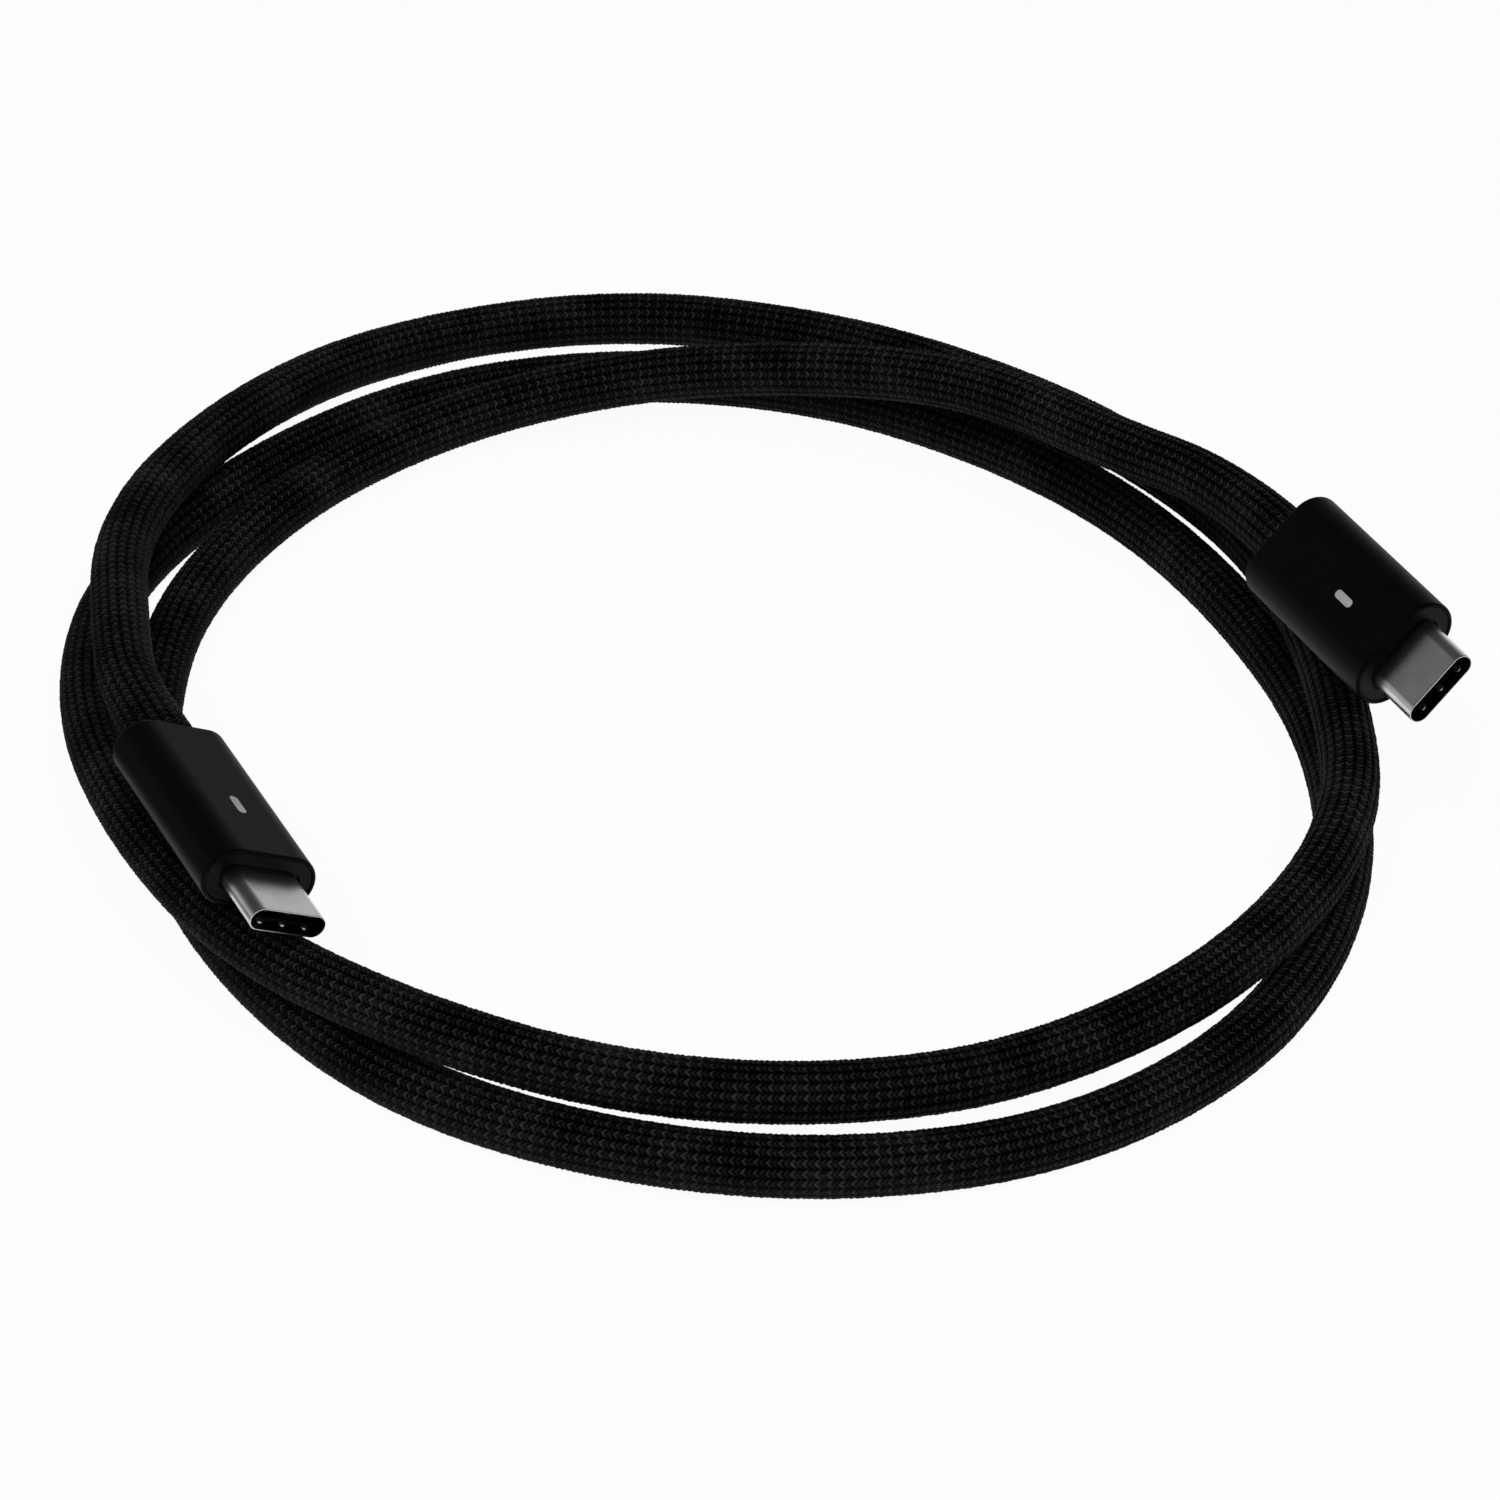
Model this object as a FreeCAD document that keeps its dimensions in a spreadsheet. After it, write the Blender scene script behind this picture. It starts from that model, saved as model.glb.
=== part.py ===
"""A coiled, braided charging cable with a flat reversible plug on each end.

Millimetres, +Z up. The coil lies on the plane Z = 0 and the origin is the middle of the whole
cable's footprint. Each plug is built in a frame of its own, X out through its mouth, Y across
its width and Z through its thickness, with the origin at the middle of its rear face, and is
then placed where it lies on the coil.
"""
import FreeCAD, Part
import math
import os
import Sketcher

Vector = FreeCAD.Vector

SIZES = {
    # cord
    "cord_diameter": 5.7,
    "sleeve_wall": 0.8,
    "jacket_wall": 0.5,
    "screen_wall": 0.2,
    "layer_gap": 0.05,
    "swell_rise": 0.25,
    "swell_length": 6.5,
    "floor_flat": 0.5,
    # coil
    "coil_x": -2.5,
    "coil_y": -5.2,
    "coil_step": 20.0,
    # plug housing
    "plug_width": 12.2,
    "plug_thickness": 6.15,
    "plug_length": 22.2,
    "housing_wall": 0.8,
    "rear_wall": 1.5,
    "rear_round": 0.35,
    "front_round": 0.3,
    "rim_wall": 0.4,
    "rim_depth": 1.0,
    "fit_gap": 0.05,
    # front cap
    "cap_depth": 3.4,
    "cap_recess": 0.12,
    "root_groove": 0.3,
    # connector shell and what it holds
    "shell_width": 8.25,
    "shell_height": 2.4,
    "shell_wall": 0.22,
    "shell_reach": 6.65,
    "shell_root": 6.0,
    "mouth_round": 0.1,
    "insulator_setback": 1.25,
    "insulator_tail": 0.6,
    "tongue_width": 6.7,
    "tongue_gap": 0.84,
    "tongue_depth": 5.6,
    "contact_pitch": 0.5,
    "contact_width": 0.25,
    "contact_thick": 0.12,
    "contact_bump": 0.14,
    "contact_lip": 0.6,
    "contact_tail": 1.5,
    "bump_start": 1.6,
    "bump_rise": 1.1,
    "bump_fall": 0.7,
    "bump_end": 0.2,
    "spring_thick": 0.1,
    "finger_width": 0.8,
    "finger_length": 3.0,
    "dimple_radius": 0.35,
    "dimple_height": 0.3,
    "dimple_setback": 0.85,
    "latch_thick": 0.2,
    "latch_arm": 0.25,
    "latch_hook": 0.3,
    "hook_face": 0.3,
    "hook_slope": 0.4,
    # card and its shield
    "card_side_gap": 0.5,
    "card_length": 6.8,
    "solder_gap": 0.02,
    "stack_gap": 0.3,
    "chip_side": 2.6,
    "chip_height": 0.7,
    "capacitor_long": 1.0,
    "capacitor_side": 0.5,
    "cover_wall": 0.2,
    "cover_gap": 0.1,
    "cover_overlap": 1.0,
    # cable ends inside the plug
    "flange_width": 8.0,
    "flange_depth": 1.2,
    "relief_wall": 0.35,
    "relief_reach": 4.0,
    "ferrule_wall": 0.35,
    "ferrule_length": 2.6,
    "core_wall": 0.1,
    "lead_spread": 2.7,
    "lead_overlap": 1.2,
    "strip_length": 0.8,
}

# The coil from the left plug to the right one, a station each coil_step degrees round:
# distance from the coil's middle, and lift of the cord off the floor in cord diameters.
COIL = [
    (59.3, 2.0), (65.3, 1.46), (69.8, 0.91), (76.4, 0), (74.1, 0), (69.7, 0),
    (66.3, 0), (62.2, 0.46), (60.7, 0.92), (61.2, 1.08), (64.2, 1.1), (62.8, 0.9),
    (58.6, 0.44), (56.9, 0.63), (56.6, 0.92), (56.7, 1.09), (58.4, 1.06), (60.2, 0.99),
    (63.5, 0.59), (67.0, 0.1), (66.4, 0), (65.3, 0), (62.4, 0), (59.5, 0),
    (57.0, 0), (56.2, 0.03), (57.0, 0), (60.4, 0), (64.5, 0), (67.0, 0),
    (66.2, 0), (63.5, 0.1), (60.7, 0.1), (58.7, 0), (57.1, 0), (56.6, 0.03),
    (57.4, 0.04), (59.0, 0.09), (59.1, 0.18), (58.2, 0.36), (56.0, 0.75), (53.8, 1.22),
    (53.9, 1.61), (53.4, 1.87),
]

# Rear face centre of each plug, and its heading, rise and bank in degrees.
PLUG_POSES = {
    "left": ((-55.48, -23.07, 14.5), -61.9, 1.1, -31.5),
    "right": ((55.32, 7.63, 15.9), -65.7, 4.9, 42.6),
}
# Each row's contacts in groups: the first one's place in pitches, and how many.
UPPER_CONTACTS = [(-5.5, 12)]
LOWER_CONTACTS = [(-5.5, 5), (1.5, 5)]
CORES_IN_RING = 6
# For the least gap between turns: a place each half millimetre, none compared with those
# within 25 mm along the cord.
SAMPLE_STEP = 0.5
NEIGHBOURS = 50
CELL = 10
TOLERANCE = 1e-6

doc = FreeCAD.newDocument("ChargingCable")
sheet = doc.addObject("Spreadsheet::Sheet", "Sizes")
for row, (alias, number) in enumerate(SIZES.items(), start=1):
    sheet.set("A%d" % row, alias)
    sheet.set("B%d" % row, str(number))
    sheet.setAlias("B%d" % row, alias)
doc.recompute()
parts = []


def size(text):
    """The number that an expression of the sheet's names comes to."""
    return float(sheet.evalExpression(bound(text)))


def bound(text):
    """The expression with each of the sheet's names written out in full."""
    words = []
    for word in text.replace("(", "( ").replace(")", " )").split():
        words.append("Sizes." + word if word in SIZES else word)
    return " ".join(words)


# Derived measures, as expressions of the sheet's names
PLUG = ("plug_width", "plug_thickness")
BORE = ("plug_width - 2 * housing_wall", "plug_thickness - 2 * housing_wall")
RIM = ("plug_width - 2 * rim_wall", "plug_thickness - 2 * rim_wall")
SHELL = ("shell_width", "shell_height")
TIP = "( plug_length + shell_reach )"
SHELL_START = "( plug_length - shell_root )"
SHELL_ROOM = "( shell_height / 2 - shell_wall )"
INSULATOR_START = "( plug_length - shell_root + insulator_tail )"
INSULATOR_END = "( plug_length + shell_reach - insulator_setback )"
SPRING_WIDTH = "( shell_width - shell_height - fit_gap )"
FINGER_PITCH = "( ( shell_width - shell_height - fit_gap - finger_width ) / 2 )"
INSULATOR_HALF = "( shell_height / 2 - shell_wall - spring_thick - fit_gap )"
JACKET_RADIUS = "( cord_diameter / 2 - sleeve_wall - layer_gap )"
SCREEN_RADIUS = "( cord_diameter / 2 - sleeve_wall - jacket_wall - 2 * layer_gap )"
CORE_SPACE = "( cord_diameter / 2 - sleeve_wall - jacket_wall - screen_wall - 3 * layer_gap )"
RELIEF_BORE = "( cord_diameter / 2 - sleeve_wall )"
RELIEF_RADIUS = "( cord_diameter / 2 - sleeve_wall + relief_wall )"
CORE_RADIUS = "( ( cord_diameter / 2 - sleeve_wall - jacket_wall - screen_wall ) / 3 - 2 * layer_gap )"
LEAD_RADIUS = "( " + CORE_RADIUS + " - core_wall )"
FERRULE_BORE = "( cord_diameter / 2 - sleeve_wall - jacket_wall - layer_gap )"
FERRULE_RADIUS = "( cord_diameter / 2 - sleeve_wall - jacket_wall - layer_gap + ferrule_wall )"
JACKET_END = "( rear_wall + flange_depth + 2 * stack_gap )"
FERRULE_START = "( rear_wall + flange_depth + 3 * stack_gap )"
FERRULE_END = "( rear_wall + flange_depth + 3 * stack_gap + ferrule_length )"
SCREEN_END = "( rear_wall + flange_depth + 4 * stack_gap + ferrule_length )"
CORES_END = "( rear_wall + flange_depth + 4 * stack_gap + ferrule_length + strip_length )"
COVER_START = "( rear_wall + flange_depth + 3 * stack_gap + ferrule_length / 2 )"
COVER_END = "( plug_length - shell_root + cover_overlap )"
CARD_WIDTH = "( plug_width - 2 * ( housing_wall + cover_gap + cover_wall + card_side_gap ) )"
CARD_THICK = "( tongue_gap - 2 * solder_gap )"
CARD_END = "( plug_length - shell_root - stack_gap )"
CARD_MIDDLE = "( plug_length - shell_root - stack_gap - card_length / 2 )"
CARD_START = "( plug_length - shell_root - stack_gap - card_length )"


def finish(item, side, name, solids=1):
    """Names a finished piece, and turns it to where its plug lies."""
    item.Label = "%s_%s" % (side, name) if side else name
    if side:
        item.Placement = plug_placement(side)
    parts.append((item, solids))
    return item


def plug_placement(side):
    """Where a plug lies on the coil."""
    rear, heading, rise, bank = PLUG_POSES[side]
    return FreeCAD.Placement(Vector(*rear), FreeCAD.Rotation(heading, -rise, bank))


def new_body(side, name):
    """An empty body for one piece of a plug."""
    body = doc.addObject("PartDesign::Body", "%s_%s_body" % (side, name))
    body.AllowCompound = True
    return body


def origin_feature(body, role):
    """One of the body's own origin planes or axes."""
    return [item for item in body.Origin.OriginFeatures if item.Role == role][0]


def new_sketch(body, plane, offset):
    """An empty sketch on one of the body's own planes, moved along its normal."""
    sketch = body.newObject("Sketcher::SketchObject", body.Name + "_sketch")
    sketch.AttachmentSupport = [(origin_feature(body, plane), "")]
    sketch.MapMode = "FlatFace"
    sketch.setExpression("AttachmentOffset.Base.z", bound(offset))
    return sketch


def fix(sketch, constraint, name, expression):
    """Adds a named constraint that follows the sheet."""
    index = sketch.addConstraint(constraint)
    sketch.renameConstraint(index, name)
    sketch.setExpression("Constraints." + name, bound(expression))


def grown(outline, growth):
    """A flat outline, as its width and height, made wider and higher by a growth."""
    return ["%s + %s" % (measure, growth) for measure in outline]


def stadium(body, outline, offset):
    """A sketch of a flat outline with fully round sides, square to X at the offset."""
    sketch = new_sketch(body, "YZ_Plane", offset)
    width, height = outline
    half_height = "( %s ) / 2" % height
    half_run = "( %s - ( %s ) ) / 2" % (width, height)
    radius = size(half_height)
    run = size(half_run)
    axis = Vector(0, 0, 1)
    sketch.addGeometry([
        Part.LineSegment(Vector(-run, radius, 0), Vector(run, radius, 0)),
        Part.ArcOfCircle(Part.Circle(Vector(run, 0, 0), axis, radius), -math.pi / 2, math.pi / 2),
        Part.LineSegment(Vector(run, -radius, 0), Vector(-run, -radius, 0)),
        Part.ArcOfCircle(Part.Circle(Vector(-run, 0, 0), axis, radius), math.pi / 2, 3 * math.pi / 2),
    ], False)
    sketch.addConstraint([
        Sketcher.Constraint("Tangent", 0, 2, 1, 2),
        Sketcher.Constraint("Tangent", 1, 1, 2, 1),
        Sketcher.Constraint("Tangent", 2, 2, 3, 2),
        Sketcher.Constraint("Tangent", 3, 1, 0, 1),
        Sketcher.Constraint("Horizontal", 0),
        Sketcher.Constraint("Equal", 1, 3),
        Sketcher.Constraint("Symmetric", 3, 3, 1, 3, -1, 1),
    ])
    fix(sketch, Sketcher.Constraint("Radius", 1, radius), "half_height", half_height)
    fix(sketch, Sketcher.Constraint("DistanceX", -1, 1, 1, 3, run), "half_run", half_run)
    return sketch


def circle(body, radius, offset):
    """A sketch of a circle about the X axis at the offset."""
    sketch = new_sketch(body, "YZ_Plane", offset)
    sketch.addGeometry(Part.Circle(Vector(0, 0, 0), Vector(0, 0, 1), size(radius)), False)
    sketch.addConstraint(Sketcher.Constraint("Coincident", 0, 3, -1, 1))
    fix(sketch, Sketcher.Constraint("Radius", 0, size(radius)), "bore", radius)
    return sketch


def polygon(body, plane, corners, offset="0"):
    """A sketch of straight edges whose corners are pairs of expressions."""
    sketch = new_sketch(body, plane, offset)
    points = [Vector(size(across), size(up), 0) for across, up in corners]
    last = len(points) - 1
    for index, point in enumerate(points):
        following = points[index + 1] if index < last else points[0]
        sketch.addGeometry(Part.LineSegment(point, following), False)
    for index in range(last):
        sketch.addConstraint(Sketcher.Constraint("Coincident", index, 2, index + 1, 1))
    sketch.addConstraint(Sketcher.Constraint("Coincident", last, 2, 0, 1))
    for index, (across, up) in enumerate(corners):
        point = points[index]
        fix(sketch, Sketcher.Constraint("DistanceX", -1, 1, index, 1, point.x), "across%d" % index, across)
        fix(sketch, Sketcher.Constraint("DistanceY", -1, 1, index, 1, point.y), "up%d" % index, up)
    return sketch


def rectangle(body, plane, low, high, offset="0"):
    """A sketch of an upright rectangle between two corners."""
    corners = [low, (high[0], low[1]), high, (low[0], high[1])]
    return polygon(body, plane, corners, offset)


def pad(body, sketch, length, middle=False):
    """Extends a sketch along its normal, or both ways from its plane."""
    feature = body.newObject("PartDesign::Pad", body.Name + "_pad")
    feature.Profile = sketch
    feature.setExpression("Length", bound(length))
    if middle:
        feature.SideType = "Symmetric"
    doc.recompute()
    return feature


def pocket(body, sketch, depth, along_normal=False, middle=False):
    """Cuts a sketch into the body, against its normal unless told otherwise."""
    before = body.Shape.Volume
    feature = body.newObject("PartDesign::Pocket", body.Name + "_pocket")
    feature.Profile = sketch
    feature.Reversed = along_normal
    feature.setExpression("Length", bound(depth))
    if middle:
        feature.SideType = "Symmetric"
    doc.recompute()
    if not body.Shape.Volume < before:
        raise RuntimeError("%s cuts nothing" % feature.Name)
    return feature


def repeat(body, feature, span, count):
    """Repeats a feature along Y over a span, the first one included."""
    pattern = body.newObject("PartDesign::LinearPattern", body.Name + "_row")
    pattern.Originals = [feature]
    pattern.Direction = (origin_feature(body, "Y_Axis"), [""])
    pattern.setExpression("Length", bound(span))
    pattern.Occurrences = count
    body.Tip = pattern
    doc.recompute()
    return pattern


def round_rim(body, offset, radius):
    """Rounds the outer rim of the body's end that lies at the offset along X."""
    base = body.Tip
    names = []
    for index, edge in enumerate(base.Shape.Edges, start=1):
        box = edge.BoundBox
        if abs(box.XMin - size(offset)) < TOLERANCE and abs(box.XMax - size(offset)) < TOLERANCE:
            names.append("Edge%d" % index)
    feature = body.newObject("PartDesign::Fillet", body.Name + "_round")
    feature.Base = (base, names)
    feature.setExpression("Radius", bound(radius))
    doc.recompute()
    return feature


def housing(side):
    """The outer shell: a flat tube with a rear wall and a stepped mouth for the cap."""
    body = new_body(side, "housing")
    pad(body, stadium(body, PLUG, "0"), "plug_length")
    round_rim(body, "0", "rear_round")
    round_rim(body, "plug_length", "front_round")
    pocket(body, stadium(body, BORE, "plug_length"), "plug_length - rear_wall")
    pocket(body, stadium(body, RIM, "plug_length"), "rim_depth")
    pocket(body, circle(body, RELIEF_RADIUS + " + fit_gap", "rear_wall"), "rear_wall")
    finish(body, side, "housing")


def front_cap(side):
    """The plate that closes the housing's mouth, with a spigot behind and a slot for the shell."""
    body = new_body(side, "front_cap")
    spigot = stadium(body, grown(BORE, "-2 * fit_gap"), "plug_length - cap_depth")
    pad(body, spigot, "cap_depth - rim_depth")
    plate = stadium(body, grown(RIM, "-2 * fit_gap"), "plug_length - rim_depth")
    pad(body, plate, "rim_depth - cap_recess")
    slot = stadium(body, grown(SHELL, "2 * fit_gap"), "plug_length")
    pocket(body, slot, "cap_depth")
    groove = stadium(body, grown(SHELL, "2 * root_groove"), "plug_length")
    pocket(body, groove, "cap_recess + root_groove")
    finish(body, side, "front_cap")


def connector_shell(side):
    """The seamless metal shell that goes into the socket."""
    body = new_body(side, "connector_shell")
    pad(body, stadium(body, SHELL, SHELL_START), "shell_root + shell_reach")
    hollow = stadium(body, grown(SHELL, "-2 * shell_wall"), TIP)
    pocket(body, hollow, "shell_root + shell_reach")
    round_rim(body, TIP, "mouth_round")
    finish(body, side, "connector_shell")


def contact_insulator(side):
    """The black plastic body inside the shell, with the slot for the socket's tongue."""
    body = new_body(side, "contact_insulator")
    outline = ("shell_width - 2 * shell_wall - 2 * fit_gap", "2 * " + INSULATOR_HALF)
    length = INSULATOR_END + " - " + INSULATOR_START
    pad(body, stadium(body, outline, INSULATOR_START), length)
    slot_low = ("- tongue_width / 2", "- tongue_gap / 2")
    slot_high = ("tongue_width / 2", "tongue_gap / 2")
    pocket(body, rectangle(body, "YZ_Plane", slot_low, slot_high, INSULATOR_END), "tongue_depth")
    plate_half = "( latch_thick / 2 + fit_gap )"
    plate_side = "( tongue_width / 2 + latch_arm + 2 * fit_gap )"
    slit_low = ("- " + plate_side, "- " + plate_half)
    slit = rectangle(body, "YZ_Plane", slit_low, (plate_side, plate_half), INSULATOR_END)
    pocket(body, slit, length)
    first = "- 5.5 * contact_pitch"
    half = "( contact_width / 2 + fit_gap )"
    groove_top = "( tongue_gap / 2 + contact_thick + 2 * fit_gap )"
    groove_low = "( tongue_gap / 2 - fit_gap )"
    for sign in ("", "- "):
        low = (first + " - " + half, sign + groove_low)
        high = (first + " + " + half, sign + groove_top)
        groove = rectangle(body, "YZ_Plane", low, high, INSULATOR_END + " - contact_lip")
        cut = pocket(body, groove, length)
        repeat(body, cut, "11 * contact_pitch", 12)
    finish(body, side, "contact_insulator")


def contact_row(side, name, sign, groups):
    """A row of spring contacts, each with its solder tail on the card and its bump over the tongue."""
    body = new_body(side, name)
    near = sign + "( tongue_gap / 2 )"
    far = sign + "( tongue_gap / 2 + contact_thick )"
    dip = sign + "( tongue_gap / 2 - contact_bump )"
    crest = sign + "( tongue_gap / 2 + contact_thick - contact_bump )"
    tail = "( plug_length - shell_root - stack_gap - contact_tail )"
    front = "( plug_length + shell_reach - insulator_setback - contact_lip - fit_gap )"
    corners = [
        (tail, near), (front + " - bump_start", near), (front + " - bump_rise", dip),
        (front + " - bump_fall", dip), (front + " - bump_end", near), (front, near),
        (front, far), (front + " - bump_end", far), (front + " - bump_fall", crest),
        (front + " - bump_rise", crest), (front + " - bump_start", far), (tail, far),
    ]
    for first, count in groups:
        outline = polygon(body, "XZ_Plane", corners, "%s * contact_pitch" % -first)
        strip = pad(body, outline, "contact_width", middle=True)
        repeat(body, strip, "%d * contact_pitch" % (count - 1), count)
    finish(body, side, name, sum(count for _, count in groups))


def latch_plate(side):
    """The middle plate: a bridge at the rear and two arms whose hooks catch the socket's tongue."""
    body = new_body(side, "latch_plate")
    outer = "( tongue_width / 2 + latch_arm + fit_gap )"
    inner = "( tongue_width / 2 + fit_gap )"
    hook = "( tongue_width / 2 + fit_gap - latch_hook )"
    rear = INSULATOR_START
    bridge = "( plug_length + shell_reach - insulator_setback - tongue_depth - fit_gap )"
    front = "( plug_length + shell_reach - insulator_setback - contact_lip )"
    face = front + " - hook_face"
    slope = face + " - hook_slope"
    corners = [
        (rear, "- " + outer), (front, "- " + outer), (front, "- " + hook), (face, "- " + hook),
        (slope, "- " + inner), (bridge, "- " + inner), (bridge, inner), (slope, inner),
        (face, hook), (front, hook), (front, outer), (rear, outer),
    ]
    pad(body, polygon(body, "XY_Plane", corners), "latch_thick", middle=True)
    finish(body, side, "latch_plate")


def ground_spring(side, name, sign):
    """A pressed strip against the shell's wall, with three fingers that end in dimples."""
    body = new_body(side, name)
    offset = SHELL_ROOM + " - spring_thick" if sign > 0 else "- " + SHELL_ROOM
    root = "( plug_length + shell_reach - finger_length - contact_tail )"
    heel = "( plug_length + shell_reach - finger_length )"
    dimple_x = "( plug_length + shell_reach - dimple_setback )"
    front = "( plug_length + shell_reach - dimple_setback + dimple_radius )"
    strip_low = (root, "- " + SPRING_WIDTH + " / 2")
    strip_high = (heel, SPRING_WIDTH + " / 2")
    pad(body, rectangle(body, "XY_Plane", strip_low, strip_high, offset), "spring_thick")
    low = (heel, "- " + FINGER_PITCH + " - finger_width / 2")
    high = (front, "- " + FINGER_PITCH + " + finger_width / 2")
    finger = pad(body, rectangle(body, "XY_Plane", low, high, offset), "spring_thick")
    repeat(body, finger, "2 * " + FINGER_PITCH, 3)
    inward = " - dimple_height" if sign > 0 else " + spring_thick"
    sketch = new_sketch(body, "XY_Plane", offset + inward)
    dimple_y = "- " + FINGER_PITCH
    middle = Vector(size(dimple_x), size(dimple_y), 0)
    radius = size("dimple_radius")
    sketch.addGeometry(Part.Circle(middle, Vector(0, 0, 1), radius), False)
    fix(sketch, Sketcher.Constraint("Radius", 0, radius), "round", "dimple_radius")
    fix(sketch, Sketcher.Constraint("DistanceX", -1, 1, 0, 3, middle.x), "along", dimple_x)
    fix(sketch, Sketcher.Constraint("DistanceY", -1, 1, 0, 3, middle.y), "across", dimple_y)
    repeat(body, pad(body, sketch, "dimple_height"), "2 * " + FINGER_PITCH, 3)
    finish(body, side, name)


def circuit_card(side):
    """The small board that joins the wires to the contacts, notched for the covers."""
    body = new_body(side, "circuit_card")
    low = (CARD_START, "- " + CARD_WIDTH + " / 2")
    high = (CARD_END, CARD_WIDTH + " / 2")
    pad(body, rectangle(body, "XY_Plane", low, high), CARD_THICK, middle=True)
    notch_half = CARD_THICK + " / 2"
    notch_low = "( " + CARD_WIDTH + " - " + CARD_THICK + " ) / 2"
    for sign in ("", "- "):
        low = (CARD_MIDDLE + " - " + notch_half, sign + notch_low)
        high = (CARD_MIDDLE + " + " + notch_half, sign + CARD_WIDTH)
        pocket(body, rectangle(body, "XY_Plane", low, high), "2 * " + CARD_THICK, middle=True)
    finish(body, side, "circuit_card")


def marker_chip(side):
    """The chip on the upper side of the card."""
    chip = doc.addObject("Part::Box", side + "_chip_block")
    chip.setExpression("Length", bound("chip_side"))
    chip.setExpression("Width", bound("chip_side"))
    chip.setExpression("Height", bound("chip_height"))
    rear = size(CARD_MIDDLE + " - chip_side / 2")
    chip.Placement.Base = Vector(rear, size("- chip_side / 2"), size(CARD_THICK + " / 2"))
    doc.recompute()
    eased = doc.addObject("Part::Chamfer", side + "_chip")
    eased.Base = chip
    top = chip.Shape.BoundBox.ZMax
    ease = size("chip_height / 8")
    edges = enumerate(chip.Shape.Edges, start=1)
    rim = [index for index, edge in edges if abs(edge.BoundBox.ZMin - top) < TOLERANCE]
    eased.Edges = [(index, ease, ease) for index in rim]
    finish(eased, side, "marker_chip")


def card_capacitors(side):
    """Four capacitors, two on each side of the card beside the chip."""
    blocks = []
    rear = size(CARD_MIDDLE + " - capacitor_long / 2")
    for up in (1, -1):
        for across in (1, -1):
            block = doc.addObject("Part::Box", side + "_capacitor")
            block.setExpression("Length", bound("capacitor_long"))
            block.setExpression("Width", bound("capacitor_side"))
            block.setExpression("Height", bound("capacitor_side"))
            level = size(CARD_THICK + " / 2") if up > 0 else size("- " + CARD_THICK + " / 2 - capacitor_side")
            beside = across * size("chip_side") - size("capacitor_side / 2")
            block.Placement.Base = Vector(rear, beside, level)
            blocks.append(block)
    group = doc.addObject("Part::Compound", side + "_capacitors")
    group.Links = blocks
    finish(group, side, "card_capacitors", len(blocks))


def shield_cover(side, name, upper):
    """Half of the pressed can round the card, from the ferrule to the connector shell."""
    body = new_body(side, name)
    outline = grown(BORE, "-2 * cover_gap")
    length = COVER_END + " - " + COVER_START
    pad(body, stadium(body, outline, COVER_START), length)
    hollow = stadium(body, grown(outline, "-2 * cover_wall"), COVER_END + " - cover_wall")
    pocket(body, hollow, length + " - 2 * cover_wall")
    pocket(body, stadium(body, grown(SHELL, "2 * fit_gap"), COVER_END), "2 * cover_wall")
    rear_hole = circle(body, FERRULE_RADIUS + " + fit_gap", FERRULE_END + " + fit_gap")
    pocket(body, rear_hole, "ferrule_length / 2 + fit_gap")
    other_half = rectangle(body, "XY_Plane", ("cover_wall", "- plug_width"), ("plug_length", "plug_width"))
    pocket(body, other_half, "plug_thickness", along_normal=not upper)
    finish(body, side, name)


def crimp_ferrule(side):
    """The ring that presses the woven screen against the covers."""
    body = new_body(side, "crimp_ferrule")
    pad(body, circle(body, FERRULE_RADIUS, FERRULE_START), "ferrule_length")
    pocket(body, circle(body, FERRULE_BORE, FERRULE_END), "ferrule_length")
    finish(body, side, "crimp_ferrule")


def strain_relief(side):
    """The bush with a flange behind the rear wall and a tapered nose under the sleeve."""
    body = new_body(side, "strain_relief")
    taper = "( 1 - relief_reach / swell_length )"
    nose = RELIEF_BORE + " + ( relief_wall + fit_gap ) * " + taper + " - fit_gap"
    corners = [
        ("- relief_reach", RELIEF_BORE), ("rear_wall", RELIEF_BORE), ("rear_wall", RELIEF_RADIUS),
        ("fit_gap", RELIEF_RADIUS), ("- relief_reach", nose),
    ]
    turned = body.newObject("PartDesign::Revolution", body.Name + "_turned")
    turned.Profile = polygon(body, "XZ_Plane", corners)
    turned.ReferenceAxis = (origin_feature(body, "X_Axis"), [""])
    turned.Angle = 360
    doc.recompute()
    flange = ("flange_width", BORE[1] + " - 2 * fit_gap")
    pad(body, stadium(body, flange, "rear_wall"), "flange_depth")
    pocket(body, circle(body, RELIEF_BORE, "rear_wall + flange_depth"), "flange_depth")
    finish(body, side, "strain_relief")


def ring_angle(index):
    """Where a core sits round the cable's middle, in degrees from the plug's width."""
    return (index + 0.5) * 360 / CORES_IN_RING


def wire_leads(side):
    """Six bare ends from the cores to the card, three on each side of it."""
    paths = []
    start = size(CORES_END)
    card = size(CARD_START)
    ring = size(CORE_SPACE) * 2 / 3
    level = size(CARD_THICK + " / 2 + " + LEAD_RADIUS + " + fit_gap")
    straight = (card - start) * 0.3
    for index in range(CORES_IN_RING):
        angle = math.radians(ring_angle(index))
        across = ring * math.cos(angle)
        up = ring * math.sin(angle)
        pad_y = size("lead_spread") * round(math.cos(angle))
        pad_z = math.copysign(level, up)
        paths.append([
            Vector(start, across, up),
            Vector(start + straight, across, up),
            Vector(card - straight / 3, pad_y, pad_z),
            Vector(card + size("lead_overlap"), pad_y, pad_z),
        ])
    leads = doc.addObject("Part::Feature", side + "_leads")
    leads.Shape = Part.Compound([round_tube(path, size(LEAD_RADIUS)) for path in paths])
    finish(leads, side, "wire_leads", len(paths))


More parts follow.
